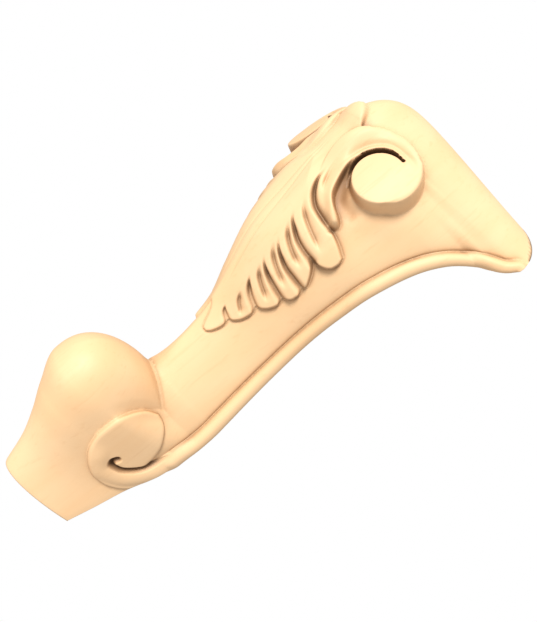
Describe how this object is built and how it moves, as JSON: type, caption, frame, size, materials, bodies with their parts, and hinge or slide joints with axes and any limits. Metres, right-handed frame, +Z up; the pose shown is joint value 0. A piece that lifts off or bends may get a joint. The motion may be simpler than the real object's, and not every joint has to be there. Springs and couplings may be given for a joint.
{
  "type": "carved cabriole bracket leg",
  "caption": "Carved wooden bracket with a flared square head, an acanthus leaf between C-scrolls on the knee, beaded back edges and a rolled scroll foot.",
  "frame": {"origin": "middle of the flat top, where the bracket is fixed", "axes": "+Z up out of the flat top, -Y towards the carved front, +X to the right seen from behind; the bracket is the same on both sides of the plane X = 0"},
  "size_m": [0.1596, 0.0901, 0.28],
  "materials": {
    "pale_wood": "bare pale wood, sanded smooth, with faint tool marks"
  },
  "bodies": {
    "root": {"carved_bracket": "pale_wood"}
  },
  "joints": []
}
